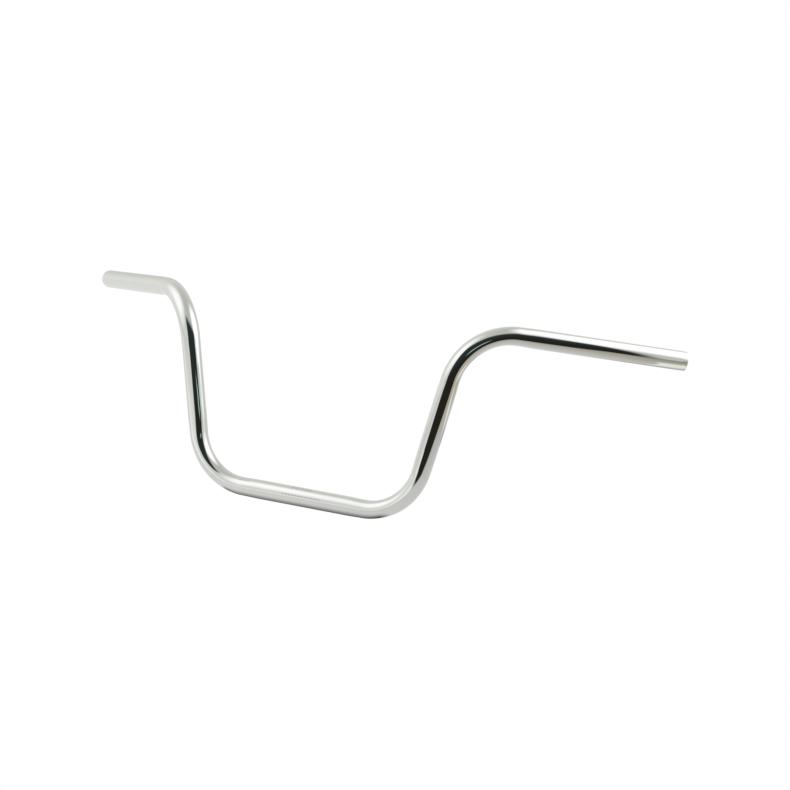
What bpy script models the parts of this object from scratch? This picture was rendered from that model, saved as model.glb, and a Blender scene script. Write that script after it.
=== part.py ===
"""Motorcycle handlebar: one bent steel tube, and a threaded bush set in each open end.

Metres, +Z up. The origin is the middle of the clamp section, on the tube's centreline. +X runs
along the clamp section to the rider's left hand, +Z is the way the risers climb, and +Y is the
way the grips sweep back, towards the rider.
"""

from math import asin, cos, pi, radians, sin

import bpy
from mathutils import Vector

OBJECT_NAME = "handlebar"

# The tube
TUBE_RADIUS = 0.0111
TUBE_WALL = 0.0020

# Its shape. A stretch is measured along the centreline, from the corner where its line meets
# the line of the stretch before it to the corner where it meets the next one.
CLAMP_STRETCH = 0.2684
RISER_STRETCH = 0.2253
GRIP_STRETCH = 0.2568
RISER_RISE = radians(77.95)  # up from the clamp section's line
GRIP_SWEEP = radians(36.3)  # back from that line, seen from above
GRIP_DROP = radians(3.2)  # down towards the tip
BEND_RADIUS = 0.0683  # every bend is made on the same former

# The bush in each end, which takes the screw of a bar-end weight
FIT_GAP = 0.0004
BUSH_RADIUS = TUBE_RADIUS - TUBE_WALL - FIT_GAP
BUSH_LENGTH = 0.022
BUSH_RECESS = 0.0015
BUSH_CHAMFER = 0.0008
THREAD_RADIUS = 0.00400  # M8, at the roots of the bush's thread
BORE_RADIUS = 0.00335  # M8, at its crests

# Facets
SIDES = 24
BEND_STEPS = 9
SHARP_ANGLE = radians(40)
MERGE_DISTANCE = 0.00001

RISER_AXIS = Vector((cos(RISER_RISE), 0, sin(RISER_RISE)))
GRIP_AXIS = Vector((cos(GRIP_SWEEP) * cos(GRIP_DROP), sin(GRIP_SWEEP) * cos(GRIP_DROP), -sin(GRIP_DROP)))
MIDDLE = Vector((0, 0, 0))
LOWER_CORNER = Vector((CLAMP_STRETCH / 2, 0, 0))
UPPER_CORNER = LOWER_CORNER + RISER_STRETCH * RISER_AXIS
TIP = UPPER_CORNER + GRIP_STRETCH * GRIP_AXIS


def clear_scene():
    for obj in list(bpy.data.objects):
        bpy.data.objects.remove(obj, do_unlink=True)


def new_collection():
    collection = bpy.data.collections.new(OBJECT_NAME)
    bpy.context.scene.collection.children.link(collection)
    return collection


def new_material(name, colour, roughness):
    """A bare metal."""
    material = bpy.data.materials.new(name)
    material.use_nodes = True
    shader = material.node_tree.nodes["Principled BSDF"]
    shader.inputs["Base Color"].default_value = (*colour, 1)
    shader.inputs["Roughness"].default_value = roughness
    shader.inputs["Metallic"].default_value = 1
    return material


def as_mesh(maker):
    """Swaps an object for a mesh object of the shape that it and its modifiers make."""
    bpy.context.view_layer.update()
    graph = bpy.context.evaluated_depsgraph_get()
    mesh = bpy.data.meshes.new_from_object(maker.evaluated_get(graph))
    name = maker.name
    place = maker.matrix_world.copy()
    collection = maker.users_collection[0]
    bpy.data.objects.remove(maker, do_unlink=True)
    piece = bpy.data.objects.new(name, mesh)
    piece.matrix_world = place
    collection.objects.link(piece)
    return piece


def finished(maker, material):
    """The maker's shape as a piece with its material, shaded smooth up to its sharp edges."""
    piece = as_mesh(maker)
    piece.data.name = piece.name
    piece.data.materials.clear()
    piece.data.materials.append(material)
    piece.data.shade_smooth()
    piece.data.set_sharp_from_angle(angle=SHARP_ANGLE)
    return piece


def mirrored(vector):
    """The same point or direction on the bar's other half."""
    return Vector((-vector.x, vector.y, vector.z))


def bend(before, corner, after):
    """The points of the arc that rounds a corner, from one tangent point to the other."""
    arrive = (corner - before).normalized()
    leave = (after - corner).normalized()
    along = (arrive + leave).normalized()
    inward = (leave - arrive).normalized()
    half_turn = asin(leave.dot(inward))
    centre = corner + inward * (BEND_RADIUS / cos(half_turn))
    points = []
    for step in range(BEND_STEPS + 1):
        angle = half_turn * (2 * step / BEND_STEPS - 1)
        points.append(centre + BEND_RADIUS * (along * sin(angle) - inward * cos(angle)))
    return points


def centreline():
    """The whole bar's centreline, from the right tip to the left one."""
    left_half = bend(MIDDLE, LOWER_CORNER, UPPER_CORNER) + bend(LOWER_CORNER, UPPER_CORNER, TIP) + [TIP]
    return [mirrored(point) for point in reversed(left_half)] + left_half


def make_tube(name, collection, material):
    """The bent tube: an open skin along the centreline, thickened inwards."""
    curve = bpy.data.curves.new(name, "CURVE")
    curve.dimensions = "3D"
    curve.bevel_depth = TUBE_RADIUS
    curve.bevel_resolution = SIDES // 2 - 2
    points = centreline()
    spline = curve.splines.new("POLY")
    spline.points.add(len(points) - 1)
    for place, point in zip(spline.points, points):
        place.co = (*point, 1)
    path = bpy.data.objects.new(name, curve)
    collection.objects.link(path)
    skin = as_mesh(path)
    wall = skin.modifiers.new("wall", "SOLIDIFY")
    wall.thickness = TUBE_WALL
    wall.offset = -1
    wall.use_even_offset = True
    return finished(skin, material)


def bush_profile():
    """The bush's half section, as radius and height: down its outside, then up its bore."""
    mouth = THREAD_RADIUS - BORE_RADIUS
    return [
        (BUSH_RADIUS - BUSH_CHAMFER, 0),
        (BUSH_RADIUS, -BUSH_CHAMFER),
        (BUSH_RADIUS, -BUSH_LENGTH + BUSH_CHAMFER),
        (BUSH_RADIUS - BUSH_CHAMFER, -BUSH_LENGTH),
        (THREAD_RADIUS, -BUSH_LENGTH),
        (BORE_RADIUS, -BUSH_LENGTH + mouth),
        (BORE_RADIUS, -mouth),
        (THREAD_RADIUS, 0),
    ]


def make_bush(name, tip, axis, collection, material):
    """A turned bush, its outer face just inside the bar's end."""
    points = [(radius, 0, height) for radius, height in bush_profile()]
    edges = [(i, (i + 1) % len(points)) for i in range(len(points))]
    profile = bpy.data.meshes.new(name)
    profile.from_pydata(points, edges, [])
    bush = bpy.data.objects.new(name, profile)
    bush.location = tip - BUSH_RECESS * axis
    bush.rotation_euler = axis.to_track_quat("Z", "Y").to_euler()
    collection.objects.link(bush)
    turn = bush.modifiers.new("turn", "SCREW")
    turn.angle = 2 * pi
    turn.steps = SIDES
    turn.render_steps = SIDES
    turn.use_merge_vertices = True
    turn.merge_threshold = MERGE_DISTANCE
    return finished(bush, material)


def main():
    clear_scene()
    collection = new_collection()
    chrome = new_material("chrome", (0.80, 0.80, 0.79), 0.07)
    turned_steel = new_material("turned_steel", (0.48, 0.47, 0.45), 0.35)
    make_tube("handlebar_tube", collection, chrome)
    make_bush("left_end_bush", TIP, GRIP_AXIS, collection, turned_steel)
    make_bush("right_end_bush", mirrored(TIP), mirrored(GRIP_AXIS), collection, turned_steel)


main()
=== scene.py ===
"""Looks of the chromed motorcycle handlebar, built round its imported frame.

Metres, in the frame's own axes: the origin is the middle of the clamp section, +X the rider's
left, +Y back towards the rider and +Z up. The driving dimensions repeat those of the CAD part.
"""

from math import acos, ceil, cos, exp, pi, radians, sin, tan

import bmesh
import bpy
from mathutils import Matrix, Vector


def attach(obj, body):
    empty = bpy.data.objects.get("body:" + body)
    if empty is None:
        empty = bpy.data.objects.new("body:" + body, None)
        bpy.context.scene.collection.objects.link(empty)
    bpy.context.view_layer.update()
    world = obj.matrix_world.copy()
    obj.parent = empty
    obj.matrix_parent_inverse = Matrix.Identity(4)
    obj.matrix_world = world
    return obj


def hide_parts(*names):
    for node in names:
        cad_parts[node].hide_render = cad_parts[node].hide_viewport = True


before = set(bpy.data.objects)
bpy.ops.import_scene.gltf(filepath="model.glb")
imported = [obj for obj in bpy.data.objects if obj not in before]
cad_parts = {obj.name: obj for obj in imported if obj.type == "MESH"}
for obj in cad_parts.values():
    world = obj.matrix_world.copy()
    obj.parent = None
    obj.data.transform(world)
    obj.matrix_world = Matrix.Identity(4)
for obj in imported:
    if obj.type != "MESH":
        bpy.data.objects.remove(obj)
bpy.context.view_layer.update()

# The tube, as in the CAD part
TUBE_RADIUS = 0.0111
TUBE_WALL = 0.0020
CLAMP_STRETCH = 0.2684  # stretches run from corner to corner of the centreline
RISER_STRETCH = 0.2253
GRIP_STRETCH = 0.2568
RISER_RISE = radians(77.95)
GRIP_SWEEP = radians(36.3)
GRIP_DROP = radians(3.2)
BEND_RADIUS = 0.0683
BUSH_LENGTH = 0.022
BUSH_RECESS = 0.0015
BUSH_CHAMFER = 0.0008
THREAD_RADIUS = 0.00400
CREST_RADIUS = 0.00335
THREAD_PITCH = 0.00125

# What only shows from close by
BORE_RADIUS = TUBE_RADIUS - TUBE_WALL
FLATTENING = 0.08  # share of the radius that bending takes off, in the bend's own plane
BULGE = 0.032  # and the share that it adds across that plane
FLATTENING_FADE = 0.012
END_ROUND = 0.0005
BORE_CHAMFER = 0.0004
PLATED_BORE = 0.004  # how far the plating reaches into the open ends
BUSH_FIT = 0.00003
COUNTERSINK = 0.0004
THREAD_FLAT = 0.12  # share of half a pitch that is flat, at the crests and at the roots
THREAD_STEPS = 10  # rings in one pitch
FACING_PITCH = 0.0006
FACING_DEPTH = 0.00002

# How finely it is built. The steps are for the straights, beside the bends and in the bends.
TUBE_SIDES = 96
BUSH_SIDES = 64
SKIN_STEPS = (0.008, 0.003, 0.0015)
BORE_STEPS = (0.016, 0.006, 0.003)
END_ROUND_STEPS = 5

RISER_AXIS = Vector((cos(RISER_RISE), 0, sin(RISER_RISE)))
GRIP_AXIS = Vector((cos(GRIP_SWEEP) * cos(GRIP_DROP), sin(GRIP_SWEEP) * cos(GRIP_DROP), -sin(GRIP_DROP)))
LOWER_TURN = RISER_RISE
UPPER_TURN = acos(RISER_AXIS.dot(GRIP_AXIS))
LOWER_TANGENT = BEND_RADIUS * tan(LOWER_TURN / 2)
UPPER_TANGENT = BEND_RADIUS * tan(UPPER_TURN / 2)
LOWER_BEND_AXIS = Vector((0, -1, 0))
UPPER_BEND_AXIS = RISER_AXIS.cross(GRIP_AXIS).normalized()

# The left half of the centreline from the middle outwards: (length, axis it turns about or None)
RUNS = [
    (CLAMP_STRETCH / 2 - LOWER_TANGENT, None),
    (BEND_RADIUS * LOWER_TURN, LOWER_BEND_AXIS),
    (RISER_STRETCH - LOWER_TANGENT - UPPER_TANGENT, None),
    (BEND_RADIUS * UPPER_TURN, UPPER_BEND_AXIS),
    (GRIP_STRETCH - UPPER_TANGENT, None),
]
HALF_LENGTH = sum(length for length, _ in RUNS)


# ---------------------------------------------------------------- the bent centreline


def station(distance):
    """Where the left half's centreline is, at a distance from the middle.

    Returns the point, the frame's turn from the one in the middle, and how the section is pressed:
    the share of full flattening, and the direction, out of the bend, in which it acts.
    """
    point = Vector((0, 0, 0))
    turn = Matrix.Identity(3)
    share = 0.0
    squeeze = Vector((0, 0, 1))
    start = 0.0
    for length, axis in RUNS:
        along = turn.col[0].copy()
        passed = min(max(distance - start, 0.0), length)
        if axis is None:
            point += along * passed
        else:
            inward = axis.cross(along)
            angle = passed / BEND_RADIUS
            depth = min(distance - start, start + length - distance)
            fade = exp(-((depth / FLATTENING_FADE) ** 2)) / 2
            near = 1 - fade if depth > 0 else fade
            if near > share:
                share = near
                squeeze = -sin(angle) * along + cos(angle) * inward
            point += BEND_RADIUS * (sin(angle) * along + (1 - cos(angle)) * inward)
            turn = Matrix.Rotation(angle, 3, axis) @ turn
        start += length
    return point, turn, share, squeeze


def mirrored(point):
    """The same point on the bar's right half."""
    return Vector((-point.x, point.y, point.z))


def section(distance, radius, angles):
    """Points round the tube at a distance from the middle, negative on the right half."""
    centre, turn, share, squeeze = station(abs(distance))
    across = turn.col[0].cross(squeeze)
    points = []
    for angle in angles:
        spoke = radius * (cos(angle) * turn.col[1] + sin(angle) * turn.col[2])
        spoke -= share * FLATTENING * spoke.dot(squeeze) * squeeze
        spoke += share * BULGE * spoke.dot(across) * across
        point = centre + spoke
        points.append(point if distance >= 0 else mirrored(point))
    return points


def unbent(distance, radius, angles):
    """The same points on a bar that was never bent: its texture runs along these."""
    return [Vector((distance, radius * cos(angle), radius * sin(angle))) for angle in angles]


def full_circle(sides):
    return [2 * pi * side / sides for side in range(sides)]


# ---------------------------------------------------------------- meshes


def finished(name, mesh, materials, sharp_angle=radians(35)):
    """Turns a bmesh into a piece of the object, shaded smooth up to its sharp edges."""
    bmesh.ops.recalc_face_normals(mesh, faces=mesh.faces)
    data = bpy.data.meshes.new(name)
    mesh.to_mesh(data)
    mesh.free()
    for material in materials:
        data.materials.append(material)
    data.shade_smooth()
    data.set_sharp_from_angle(angle=sharp_angle)
    piece = bpy.data.objects.new(name, data)
    bpy.context.scene.collection.objects.link(piece)
    return piece


def add_hose(mesh, rings, tags=None):
    """Adds a skin through rings of points, each joined to the next, and the last to the first.

    tags gives the index of the material between each ring and the one after it.
    """
    loops = [[mesh.verts.new(point) for point in ring] for ring in rings]
    following = loops[1:] + loops[:1]
    for index, (ring, after) in enumerate(zip(loops, following)):
        for side in range(len(ring)):
            face = mesh.faces.new((ring[side], after[side], after[side - 1], ring[side - 1]))
            if tags:
                face.material_index = tags[index]
    return loops


def ring_distances(straight_step, fade_step, bend_step):
    """Where the tube's rings go along the left half: close together in and beside the bends."""
    distances = [0.0]
    start = 0.0
    near = 3 * FLATTENING_FADE
    for length, axis in RUNS:
        first = start > 0
        last = start + length < HALF_LENGTH - 1e-9
        if axis is None:
            cuts = [(start, start + near, fade_step)] if first else []
            inner_start = start + near if first else start
            inner_end = start + length - near if last else start + length
            cuts.append((inner_start, inner_end, straight_step))
            if last:
                cuts.append((inner_end, start + length, fade_step))
        else:
            cuts = [(start, start + length, bend_step)]
        for low, high, step in cuts:
            count = ceil((high - low) / step)
            distances += [low + (high - low) * i / count for i in range(1, count + 1)]
        start += length
    return distances


def end_profile():
    """The left end's turned edge, as (distance, radius): its round, face, chamfer and plated bore."""
    rounded = []
    for step in range(1, END_ROUND_STEPS + 1):
        angle = pi / 2 * step / END_ROUND_STEPS
        distance = HALF_LENGTH - END_ROUND * (1 - sin(angle))
        rounded.append((distance, TUBE_RADIUS - END_ROUND * (1 - cos(angle))))
    return rounded + [
        (HALF_LENGTH, BORE_RADIUS + BORE_CHAMFER),
        (HALF_LENGTH - BORE_CHAMFER, BORE_RADIUS),
        (HALF_LENGTH - PLATED_BORE, BORE_RADIUS),
    ]


def tube_profile():
    """(distance, radius, material) of every ring: out along the skin, then back along the bore."""
    chrome = 0
    bare = 1
    outer = ring_distances(*SKIN_STEPS)[:-1] + [HALF_LENGTH - END_ROUND]
    inner = [d for d in ring_distances(*BORE_STEPS) if d < HALF_LENGTH - 2 * PLATED_BORE]
    skin = [(-d, TUBE_RADIUS, chrome) for d in reversed(outer[1:])]
    skin += [(d, TUBE_RADIUS, chrome) for d in outer]
    left_end = [(d, r, chrome) for d, r in end_profile()]
    left_end[-1] = (*left_end[-1][:2], bare)
    bore = [(d, BORE_RADIUS, bare) for d in reversed(inner)]
    bore += [(-d, BORE_RADIUS, bare) for d in inner[1:]]
    right_end = [(-d, r, chrome) for d, r in reversed(end_profile())]
    return skin + left_end + bore + right_end


def make_tube(chrome, bare_steel):
    angles = full_circle(TUBE_SIDES)
    profile = tube_profile()
    mesh = bmesh.new()
    straight = mesh.verts.layers.float_vector.new("unbent")
    rings = [section(distance, radius, angles) for distance, radius, _ in profile]
    loops = add_hose(mesh, rings, [material for _, _, material in profile])
    for loop, (distance, radius, _) in zip(loops, profile):
        for vertex, place in zip(loop, unbent(distance, radius, angles)):
            vertex[straight] = place
    tube = finished("bent_tube", mesh, [chrome, bare_steel])
    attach(tube, "root")
    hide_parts("handlebar_tube")


def thread_radius(height, angle):
    """The bore's radius on the M8 helix: flat crests and roots, with 60 degree flanks between."""
    phase = (height / THREAD_PITCH - angle / (2 * pi)) % 1
    climb = abs(2 * phase - 1)  # 1 at a root, 0 at a crest
    flank = (climb - THREAD_FLAT) / (1 - 2 * THREAD_FLAT)
    return CREST_RADIUS + (THREAD_RADIUS - CREST_RADIUS) * min(max(flank, 0), 1)


def bush_rings():
    """Rings of the bush, its outer face at height 0: down the outside, then up the threaded bore."""
    angles = full_circle(BUSH_SIDES)

    def ring(radius, height):
        return [Vector((radius * cos(a), radius * sin(a), height)) for a in angles]

    def thread_ring(height, least_radius):
        radii = [max(thread_radius(height, a), least_radius) for a in angles]
        return [Vector((r * cos(a), r * sin(a), height)) for r, a in zip(radii, angles)]

    outside = BORE_RADIUS - BUSH_FIT
    rim = outside - BUSH_CHAMFER
    mouth = THREAD_RADIUS + COUNTERSINK
    rings = []
    grooves = int((rim - mouth) / FACING_PITCH)
    for groove in range(grooves):  # the facing tool's spiral, as shallow steps
        start = mouth + (rim - mouth) * groove / grooves
        rings.append(ring(start, 0))
        rings.append(ring(start + FACING_PITCH / 2, -FACING_DEPTH))
    rings += [
        ring(rim, 0),
        ring(outside, -BUSH_CHAMFER),
        ring(outside, -BUSH_LENGTH + BUSH_CHAMFER),
        ring(rim, -BUSH_LENGTH),
        ring(mouth, -BUSH_LENGTH),
    ]
    step = THREAD_PITCH / THREAD_STEPS
    threaded = BUSH_LENGTH - 2 * step
    count = ceil(threaded / step)
    for index in range(count + 1):
        height = -BUSH_LENGTH + step + threaded * index / count
        rings.append(thread_ring(height, mouth + max(height, -BUSH_LENGTH - height)))
    return rings


def make_bush(name, node, tip, axis, material):
    mesh = bmesh.new()
    add_hose(mesh, bush_rings())
    bush = finished(name, mesh, [material])
    bush.location = tip - BUSH_RECESS * axis
    bush.rotation_euler = axis.to_track_quat("Z", "Y").to_euler()
    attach(bush, "root")
    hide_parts(node)


# ---------------------------------------------------------------- the printed marks

MARK_HEIGHT = 0.000015  # how far the ink stands above the plating
MARK_ROOT = 0.00001
MARK_STEP = radians(3.75)
TICKS_EACH_WAY = 6
TICK_PITCH = 0.002
TICK_WIDTH = 0.00044
TICK_MIDDLE = radians(110)
TICK_REACH = radians(9)
LONG_TICK_REACH = radians(16)
DASHES = 12
DASH_START = -0.022
DASH_PITCH = 0.0042
DASH_LENGTH = 0.0030
DASH_ANGLES = (radians(166), radians(169))


def add_patch(mesh, start, end, low, high):
    """A thin closed patch of ink on the tube, between two distances and two angles."""
    count = max(2, ceil((high - low) / MARK_STEP))
    angles = [low + (high - low) * i / count for i in range(count + 1)]
    inner = TUBE_RADIUS - MARK_ROOT
    outer = TUBE_RADIUS + MARK_HEIGHT
    corners = [(start, inner), (end, inner), (end, outer), (start, outer)]
    rails = [[mesh.verts.new(p) for p in section(distance, radius, angles)] for distance, radius in corners]
    for rail, after in zip(rails, rails[1:] + rails[:1]):
        for i in range(count):
            mesh.faces.new((rail[i], after[i], after[i + 1], rail[i + 1]))
    for end_index in (0, -1):
        mesh.faces.new([rail[end_index] for rail in rails])


def make_marks(ink):
    """A centring scale for the clamps on top of the bar, and a row of dashes on its front."""
    mesh = bmesh.new()
    for tick in range(-TICKS_EACH_WAY, TICKS_EACH_WAY + 1):
        x = TICK_PITCH * tick
        reach = LONG_TICK_REACH if tick % 3 == 0 else TICK_REACH
        add_patch(mesh, x - TICK_WIDTH / 2, x + TICK_WIDTH / 2, TICK_MIDDLE - reach, TICK_MIDDLE + reach)
    for dash in range(DASHES):
        x = DASH_START + DASH_PITCH * dash
        add_patch(mesh, x, x + DASH_LENGTH, *DASH_ANGLES)
    marks = finished("clamp_marks", mesh, [ink])
    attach(marks, "root")


# ---------------------------------------------------------------- shader helpers


def new_node(tree, kind, inputs=None, **settings):
    """Adds a shader node. An input is given as a value, or as the socket that feeds it."""
    made = tree.nodes.new(kind)
    for name, value in settings.items():
        setattr(made, name, value)
    for name, value in (inputs or {}).items():
        if isinstance(value, bpy.types.NodeSocket):
            tree.links.new(value, made.inputs[name])
        else:
            made.inputs[name].default_value = value
    return made


def calc(tree, operation, *values):
    return new_node(tree, "ShaderNodeMath", dict(enumerate(values)), operation=operation).outputs[0]


def distance_from_axis(tree, first, second):
    """How far a place is from an axis, from its two offsets square to that axis."""
    squares = calc(tree, "MULTIPLY_ADD", first, first, calc(tree, "MULTIPLY", second, second))
    return calc(tree, "SQRT", squares)


def step_between(tree, value, start, end, low=0.0, high=1.0):
    """Goes smoothly from low to high as the value goes from start to end."""
    inputs = {"Value": value, "From Min": start, "From Max": end, "To Min": low, "To Max": high}
    return new_node(tree, "ShaderNodeMapRange", inputs, interpolation_type="SMOOTHSTEP").outputs[0]


def product(tree, first, *others):
    for other in others:
        first = calc(tree, "MULTIPLY", first, other)
    return first


def between(tree, value, start, full, fading, end):
    """1 between two values and 0 outside them, with a soft step at each side."""
    rise = step_between(tree, value, start, full)
    return calc(tree, "MULTIPLY", rise, step_between(tree, value, fading, end, 1.0, 0.0))


def blend(tree, factor, first, second):
    """Goes from one colour to the other as the factor goes from 0 to 1."""
    inputs = {"Factor": factor, "A": first, "B": second}
    return new_node(tree, "ShaderNodeMix", inputs, data_type="RGBA").outputs["Result"]


def noise(tree, place, **settings):
    """A noise texture's value, about 0.5 on average."""
    inputs = {"Vector": place}
    inputs.update(settings)
    return new_node(tree, "ShaderNodeTexNoise", inputs).outputs[0]


def stretched(tree, place, scales):
    """The place with each of its parts scaled, which draws a noise out along the bar."""
    inputs = {0: place, 1: scales}
    return new_node(tree, "ShaderNodeVectorMath", inputs, operation="MULTIPLY").outputs[0]


def feed(tree, shader, name, value):
    tree.links.new(value, shader.inputs[name])


def bump(tree, shader, relief, strength, distance):
    """Raises the surface by a relief of 0 to 1 times a distance in metres."""
    inputs = {"Height": relief, "Strength": strength, "Distance": distance}
    feed(tree, shader, "Normal", new_node(tree, "ShaderNodeBump", inputs).outputs[0])


def new_material(name):
    """A material with a Principled BSDF: its tree and its shader."""
    material = bpy.data.materials.new(name)
    material.use_nodes = True
    return material, material.node_tree, material.node_tree.nodes["Principled BSDF"]


# ---------------------------------------------------------------- the object's materials

CHROME_COLOUR = (0.80, 0.80, 0.79, 1)
SMEARED_COLOUR = (0.775, 0.78, 0.775, 1)
CHROME_ROUGHNESS = 0.008
LINE_ROUGHNESS = 0.010  # the most that the polishing lines add, and the smears
SMEAR_ROUGHNESS = 0.012
POLISHING_LINES = (60, 2600, 2600)  # noise cells in a metre, along the bar and round it
BARE_COLOUR = (0.30, 0.29, 0.28, 1)
BROWNED_COLOUR = (0.20, 0.17, 0.14, 1)
DRAWING_STREAKS = (30, 500, 500)
TURNED_COLOUR = (0.48, 0.47, 0.45, 1)
OILY_COLOUR = (0.40, 0.385, 0.36, 1)
TURNING_LINES = 14000  # noise cells in a metre, across the face
TURNING_LINES_ALONG = 9000
THIN_INK = (0.34, 0.35, 0.37, 1)
FULL_INK = (0.20, 0.21, 0.23, 1)


def make_chrome():
    """Bright chrome plate: soft smears, fine polishing lines along the bar, a trace of ripple."""
    material, tree, shader = new_material("chrome_plate")
    shader.inputs["Metallic"].default_value = 1
    place = new_node(tree, "ShaderNodeAttribute", attribute_name="unbent").outputs["Vector"]
    smears = noise(tree, place, Scale=38, Detail=4, Roughness=0.6)
    lines = noise(tree, stretched(tree, place, POLISHING_LINES), Scale=1, Detail=2)
    ripple = noise(tree, place, Scale=120, Detail=1)
    smear = step_between(tree, smears, 0.45, 0.75, 0.0, SMEAR_ROUGHNESS)
    fine = calc(tree, "MULTIPLY_ADD", lines, LINE_ROUGHNESS, CHROME_ROUGHNESS)
    feed(tree, shader, "Roughness", calc(tree, "ADD", smear, fine))
    smeared = step_between(tree, smears, 0.35, 0.7)
    feed(tree, shader, "Base Color", blend(tree, smeared, CHROME_COLOUR, SMEARED_COLOUR))
    bump(tree, shader, calc(tree, "MULTIPLY_ADD", lines, 0.06, ripple), 0.05, 0.00002)
    return material


def make_bare_steel():
    """The drawn bore behind the plating: dull, streaked along the tube, with a little brown."""
    material, tree, shader = new_material("bare_bore")
    shader.inputs["Metallic"].default_value = 1
    place = new_node(tree, "ShaderNodeAttribute", attribute_name="unbent").outputs["Vector"]
    streaks = noise(tree, stretched(tree, place, DRAWING_STREAKS), Scale=1, Detail=4)
    feed(tree, shader, "Base Color", blend(tree, streaks, BARE_COLOUR, BROWNED_COLOUR))
    feed(tree, shader, "Roughness", calc(tree, "MULTIPLY_ADD", streaks, 0.2, 0.4))
    return material


def make_turned_steel():
    """Steel straight off the lathe: fine rings round its axis and a slightly oily tone."""
    material, tree, shader = new_material("turned_steel")
    shader.inputs["Metallic"].default_value = 1
    place = new_node(tree, "ShaderNodeTexCoord").outputs["Object"]
    parts = new_node(tree, "ShaderNodeSeparateXYZ", {0: place}).outputs
    across = calc(tree, "MULTIPLY", distance_from_axis(tree, parts["X"], parts["Y"]), TURNING_LINES)
    along = calc(tree, "MULTIPLY", parts["Z"], TURNING_LINES_ALONG)
    rings = new_node(tree, "ShaderNodeCombineXYZ", {"X": across, "Y": 0.0, "Z": along}).outputs[0]
    lines = noise(tree, rings, Scale=1, Detail=2)
    stained = step_between(tree, noise(tree, place, Scale=260, Detail=3), 0.4, 0.7)
    feed(tree, shader, "Base Color", blend(tree, stained, TURNED_COLOUR, OILY_COLOUR))
    feed(tree, shader, "Roughness", calc(tree, "MULTIPLY_ADD", lines, 0.16, 0.24))
    bump(tree, shader, lines, 0.35, 0.00004)
    return material


def make_ink():
    """Grey pad-printed ink, thin enough to be patchy."""
    material, tree, shader = new_material("grey_ink")
    place = new_node(tree, "ShaderNodeTexCoord").outputs["Object"]
    patches = noise(tree, place, Scale=900, Detail=3)
    feed(tree, shader, "Base Color", blend(tree, patches, FULL_INK, THIN_INK))
    feed(tree, shader, "Roughness", calc(tree, "MULTIPLY_ADD", patches, 0.2, 0.35))
    return material


# ---------------------------------------------------------------- the studio

FLOOR_HEIGHT = -0.0125
FLOOR_SIZE = 30
WHITE = (1, 1, 1, 1)

ROOM_COLOUR = (0.744, 0.766, 0.713, 1)
ROOM_LEAN = (-0.16, 0.01, -0.03)  # how much brighter it gets towards +X, +Y and +Z
ROOM_BOWL = -0.20  # and how much towards both the top and the bottom

TABLE_COLOUR = (0.755, 0.763, 0.740, 1)
WARM_COLOUR = (0.745, 0.720, 0.600, 1)
WARM_START = 0.37
WARM_FULL = 0.47

# Edges on the table: the direction square to each, and how far along it the edge starts and ends
FRONT_EDGE = ((-0.079, -0.997, 0), 0.085, 0.145)
LEFT_CORNER = ((-0.515, -0.857, 0), -0.205, -0.155)
RIGHT_PART = ((0.894, -0.447, 0), 0.165, 0.225)
PAPER_NEAR_EDGE = ((0.743, 0.669, 0), 0.408, 0.416)
PAPER_FAR_EDGE = ((0.743, 0.669, 0), 0.47, 0.51)
PAPER_ENDS = (0.0, 0.09, 0.16, 0.28)  # along Y: where it starts, is full, fades and ends
PAPER_SHADOW_START = (0.26, 0.31)

# The dark opening, in metres across it from its middle and up from the clamp section's height.
# Four numbers say where a thing starts, is full, fades and ends.
OPENING_PLACE = (0.39, -0.445, 0)
OPENING_TURN = radians(17.9)
OPENING_HALF_SIZE = (0.7, 1.6)
OPENING_SIDES = (-0.60, -0.50, 0.52, 0.585)
OPENING_TOP = (0.56, 0.92)
LAMP_SIDES = (-0.02, 0.02, 0.14, 0.18)
LAMP_HEIGHTS = (0.17, 0.19, 0.23, 0.25)
TEAL_HEIGHTS = (0.10, 0.35)  # the dark goes from warm to teal between them
TEAL_LEAN = -0.25
DARK_WARM = (0.021, 0.018, 0.015, 1)
DARK_TEAL = (0.022, 0.034, 0.032, 1)
LAMP_COLOUR = (0.45, 0.62, 0.58, 1)
CORNER_COLOUR = (0.64, 0.645, 0.61, 1)


def make_world():
    """White behind the object. What the chrome reflects is a soft grey room, a little green."""
    world = bpy.data.worlds.new("studio")
    world.use_nodes = True
    tree = world.node_tree
    tree.nodes.clear()
    towards = new_node(tree, "ShaderNodeTexCoord").outputs["Generated"]
    height = new_node(tree, "ShaderNodeSeparateXYZ", {0: towards}).outputs["Z"]
    lean = new_node(tree, "ShaderNodeVectorMath", {0: towards, 1: ROOM_LEAN}, operation="DOT_PRODUCT")
    bowl = product(tree, height, height, ROOM_BOWL)
    tone = calc(tree, "ADD", calc(tree, "ADD", lean.outputs["Value"], 1.0), bowl)
    room = new_node(tree, "ShaderNodeBackground", {"Color": ROOM_COLOUR, "Strength": tone})
    backdrop = new_node(tree, "ShaderNodeBackground", {"Color": WHITE, "Strength": 1.0})
    seen = new_node(tree, "ShaderNodeLightPath").outputs["Is Camera Ray"]
    both = new_node(tree, "ShaderNodeMixShader", {0: seen, 1: room.outputs[0], 2: backdrop.outputs[0]})
    new_node(tree, "ShaderNodeOutputWorld", {"Surface": both.outputs[0]})
    bpy.context.scene.world = world


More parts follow.
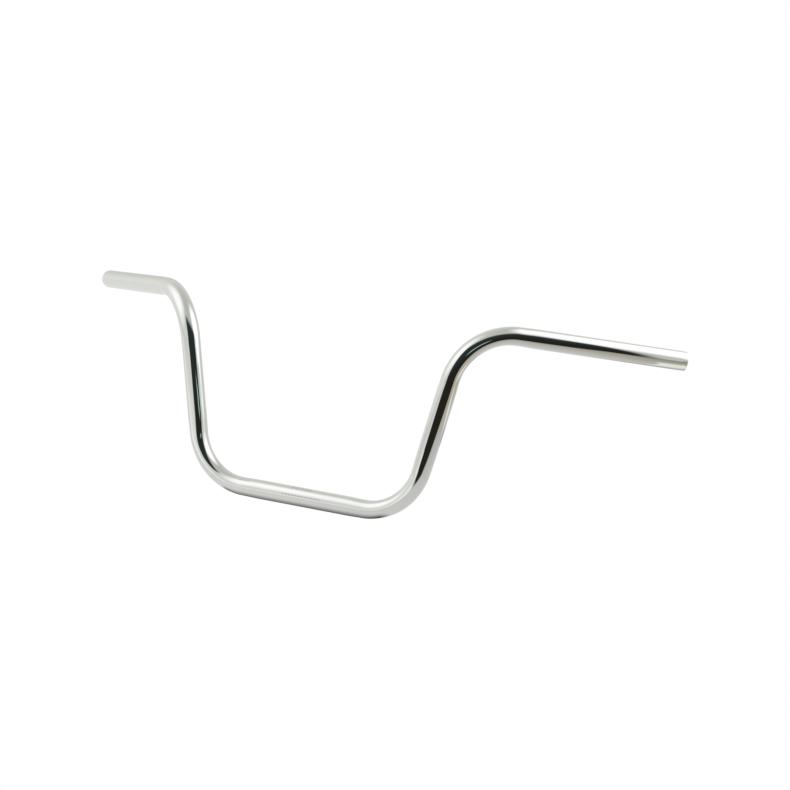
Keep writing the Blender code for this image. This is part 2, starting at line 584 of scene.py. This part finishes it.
def stage_material(name):
    """An empty material for the studio: its tree, and a function that ends it in a glow."""
    material = bpy.data.materials.new(name)
    material.use_nodes = True
    tree = material.node_tree
    tree.nodes.clear()

    def end(cover, colour, strength):
        glow = new_node(tree, "ShaderNodeEmission", {"Color": colour, "Strength": strength})
        clear = new_node(tree, "ShaderNodeBsdfTransparent")
        mixed = new_node(tree, "ShaderNodeMixShader", {0: cover, 1: clear.outputs[0], 2: glow.outputs[0]})
        new_node(tree, "ShaderNodeOutputMaterial", {"Surface": mixed.outputs[0]})

    return material, tree, end


def flat_sheet(name, half_width, half_height, material):
    """A rectangle in its own XY plane, for the studio."""
    data = bpy.data.meshes.new(name)
    corners = [
        (-half_width, -half_height, 0),
        (half_width, -half_height, 0),
        (half_width, half_height, 0),
        (-half_width, half_height, 0),
    ]
    data.from_pydata(corners, [], [(0, 1, 2, 3)])
    data.materials.append(material)
    sheet = bpy.data.objects.new(name, data)
    bpy.context.scene.collection.objects.link(sheet)
    return sheet


def before_edge(tree, place, edge):
    """1 on the near side of a soft straight edge on the table, and 0 past it."""
    across, start, end = edge
    distance = new_node(tree, "ShaderNodeVectorMath", {0: place, 1: across}, operation="DOT_PRODUCT")
    return step_between(tree, distance.outputs["Value"], start, end, 1.0, 0.0)


def table_tone(tree, place):
    """How brightly the table glows, as painted light and shade: it varies to the sides and back, up to a
    limit.
    """
    reach = 2.0  # the changes level out past half a metre or so
    side_slope = -0.21
    back_slope = 0.24
    side_bowl = -0.30
    corner_twist = -0.15
    brightest = 1.10
    parts = new_node(tree, "ShaderNodeSeparateXYZ", {0: place}).outputs
    side = calc(tree, "TANH", calc(tree, "MULTIPLY", parts["X"], reach))
    back = calc(tree, "TANH", calc(tree, "MULTIPLY", parts["Y"], reach))
    tone = calc(tree, "MULTIPLY_ADD", back, back_slope, 1.0)
    tone = calc(tree, "MULTIPLY_ADD", side, side_slope, tone)
    tone = calc(tree, "MULTIPLY_ADD", product(tree, side, side), side_bowl, tone)
    tone = calc(tree, "MULTIPLY_ADD", product(tree, side, back), corner_twist, tone)
    return calc(tree, "MINIMUM", tone, brightest)


def contact_shadow(tree, place):
    """Stands for the bar's shadow close under its clamp section. It is painted, in reflections only."""
    half_length = 0.1
    reach = 0.018
    darkest = 0.85
    parts = new_node(tree, "ShaderNodeSeparateXYZ", {0: place}).outputs
    beyond = calc(tree, "SUBTRACT", calc(tree, "ABSOLUTE", parts["X"]), half_length)
    beyond = calc(tree, "MAXIMUM", beyond, 0.0)
    away = distance_from_axis(tree, beyond, parts["Y"])
    return step_between(tree, away, 0.0, reach, darkest, 0.0)


def paper_on_table(tree, place):
    """A small sheet of paper under the left grip's tip, and the shadow along its far edge."""
    depth = new_node(tree, "ShaderNodeSeparateXYZ", {0: place}).outputs["Y"]
    past_near_edge = calc(tree, "SUBTRACT", 1.0, before_edge(tree, place, PAPER_NEAR_EDGE))
    strip = product(tree, past_near_edge, before_edge(tree, place, PAPER_FAR_EDGE))
    paper = product(tree, strip, between(tree, depth, *PAPER_ENDS))
    shadow = product(tree, strip, step_between(tree, depth, *PAPER_SHADOW_START))
    return paper, shadow


def make_floor():
    """A table, plain white to the camera. In reflections it glows with painted tones and edges, its light
    and shade painted too, and ends in a notch towards the camera, through which the dark shows.
    """
    paper_tone = 0.52
    paper_shadow_tone = -0.40
    right_part_tone = 0.42
    material, tree, end = stage_material("white_table")
    place = new_node(tree, "ShaderNodeTexCoord").outputs["Object"]
    front_edge = before_edge(tree, place, FRONT_EDGE)
    left_corner = before_edge(tree, place, LEFT_CORNER)
    main_part = calc(tree, "MAXIMUM", front_edge, left_corner)
    table = calc(tree, "MAXIMUM", main_part, before_edge(tree, place, RIGHT_PART))
    paper, paper_shadow = paper_on_table(tree, place)
    tone = calc(tree, "SUBTRACT", table_tone(tree, place), contact_shadow(tree, place))
    tone = calc(tree, "MULTIPLY_ADD", paper, paper_tone, tone)
    tone = calc(tree, "MULTIPLY_ADD", paper_shadow, paper_shadow_tone, tone)
    tone = calc(tree, "MULTIPLY_ADD", calc(tree, "SUBTRACT", 1.0, main_part), right_part_tone, tone)
    side = new_node(tree, "ShaderNodeSeparateXYZ", {0: place}).outputs["X"]
    warmth = calc(tree, "SUBTRACT", step_between(tree, side, WARM_START, WARM_FULL), paper)
    tint = blend(tree, warmth, TABLE_COLOUR, WARM_COLOUR)
    shade = new_node(tree, "ShaderNodeVectorMath", {0: tint, 3: tone}, operation="SCALE").outputs[0]
    seen = new_node(tree, "ShaderNodeLightPath").outputs["Is Camera Ray"]
    end(calc(tree, "MAXIMUM", seen, table), blend(tree, seen, shade, WHITE), 1.0)
    floor = flat_sheet("floor", FLOOR_SIZE, FLOOR_SIZE, material)
    floor.location = (0, 0, FLOOR_HEIGHT)


def hide_from_camera(card, lights_things):
    """Leaves a card in the reflections only, or in the light on dull surfaces too."""
    card.visible_camera = False
    card.visible_shadow = False
    card.visible_diffuse = lights_things


def make_dark_opening():
    """The unlit room behind the camera, with one lit patch: the black band in the chrome."""
    material, tree, end = stage_material("dark_room")
    place = new_node(tree, "ShaderNodeTexCoord").outputs["Object"]
    parts = new_node(tree, "ShaderNodeSeparateXYZ", {0: place}).outputs
    across = parts["X"]
    height = parts["Y"]
    sides = between(tree, across, *OPENING_SIDES)
    cover = product(tree, sides, step_between(tree, height, *OPENING_TOP, 1.0, 0.0))
    leaning = calc(tree, "MULTIPLY_ADD", across, TEAL_LEAN, height)
    tint = blend(tree, step_between(tree, leaning, *TEAL_HEIGHTS), DARK_WARM, DARK_TEAL)
    lamp_width = between(tree, across, *LAMP_SIDES)
    lamp_height = between(tree, height, *LAMP_HEIGHTS)
    lamp = product(tree, lamp_width, lamp_height)
    end(cover, blend(tree, lamp, tint, LAMP_COLOUR), 1.0)
    card = flat_sheet("dark_opening", *OPENING_HALF_SIZE, material)
    card.location = OPENING_PLACE
    card.rotation_euler = (pi / 2, 0, OPENING_TURN)
    hide_from_camera(card, lights_things=False)


def make_spot(name, centre, radius, softness, colour, strength, lights_things):
    """A round soft-edged panel that faces the origin. Its edge fades over the softness."""
    material, tree, end = stage_material(name)
    place = new_node(tree, "ShaderNodeTexCoord").outputs["Object"]
    reach = new_node(tree, "ShaderNodeVectorMath", {0: place}, operation="LENGTH").outputs["Value"]
    outside = radius + softness / 2
    cover = step_between(tree, reach, radius - softness / 2, outside, 1.0, 0.0)
    end(cover, colour, strength)
    panel = flat_sheet(name, outside, outside, material)
    panel.location = centre
    panel.rotation_euler = Vector(centre).to_track_quat("Z", "Y").to_euler()
    hide_from_camera(panel, lights_things)


def make_camera():
    """The camera stands in front of the bar, a little to its left hand and above, rolled slightly."""
    place = (1.0554, -2.0533, 0.3946)
    azimuth = radians(24.879)
    elevation = radians(6.547)
    roll = radians(6.108)
    data = bpy.data.cameras.new("camera")
    data.sensor_width = 36
    data.lens = 92.14
    data.clip_end = 100
    camera = bpy.data.objects.new("camera", data)
    aim = Matrix.Rotation(azimuth, 4, "Z") @ Matrix.Rotation(pi / 2 - elevation, 4, "X")
    camera.matrix_world = Matrix.Translation(place) @ aim @ Matrix.Rotation(roll, 4, "Z")
    bpy.context.scene.collection.objects.link(camera)
    bpy.context.scene.camera = camera


def make_studio():
    """Camera, room, table and panels. The front and back lights are what also lights dull metal."""
    bpy.context.scene.view_settings.view_transform = "Standard"
    make_camera()
    make_world()
    make_floor()
    make_dark_opening()
    make_spot(
        "front_light", (-0.837, -0.522, 0.932), radius=0.664, softness=0.923,
        colour=WHITE, strength=1.23, lights_things=True,
    )
    make_spot(
        "dim_corner", (-0.79, 0.79, 0.45), radius=0.30, softness=0.60,
        colour=CORNER_COLOUR, strength=1.0, lights_things=False,
    )
    make_spot(
        "back_light", (0.694, 0.303, 0.695), radius=0.56, softness=0.50,
        colour=WHITE, strength=1.40, lights_things=True,
    )


def main():
    make_studio()
    chrome = make_chrome()
    bare_steel = make_bare_steel()
    turned_steel = make_turned_steel()
    make_tube(chrome, bare_steel)
    tip, turn, _, _ = station(HALF_LENGTH)
    axis = turn.col[0].copy()
    make_bush("left_bush", "left_end_bush", tip, axis, turned_steel)
    make_bush("right_bush", "right_end_bush", mirrored(tip), mirrored(axis), turned_steel)
    make_marks(make_ink())


main()

bpy.context.view_layer.update()
